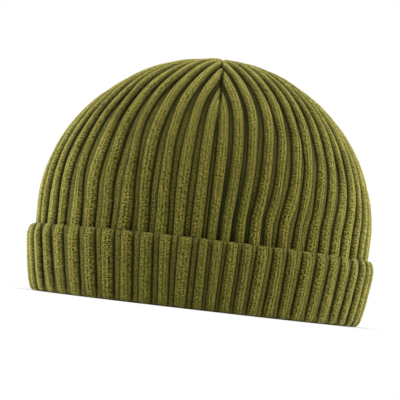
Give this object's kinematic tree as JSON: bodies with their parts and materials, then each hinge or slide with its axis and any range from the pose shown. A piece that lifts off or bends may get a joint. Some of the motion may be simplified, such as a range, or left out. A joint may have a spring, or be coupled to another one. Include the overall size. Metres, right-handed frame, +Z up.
{
  "type": "watch cap",
  "caption": "Ribbed knit watch cap: a round crown drawn in by darts over a turned-up cuff, hollow and open below for a head.",
  "frame": {"origin": "on the surface that the cap stands on, below the middle of the cap", "axes": "+Z up through the crown, the front dart faces -Y, +X is the right-hand side of the picture"},
  "size_m": [0.2016, 0.2136, 0.1448],
  "materials": {
    "rib_knit": "matt, slightly hairy moss-green rib knit",
    "label_ribbon": "plain pale grey satin ribbon"
  },
  "bodies": {
    "root": {"crown": "rib_knit", "turned_up_cuff": "rib_knit", "inner_label": "label_ribbon"}
  },
  "joints": []
}
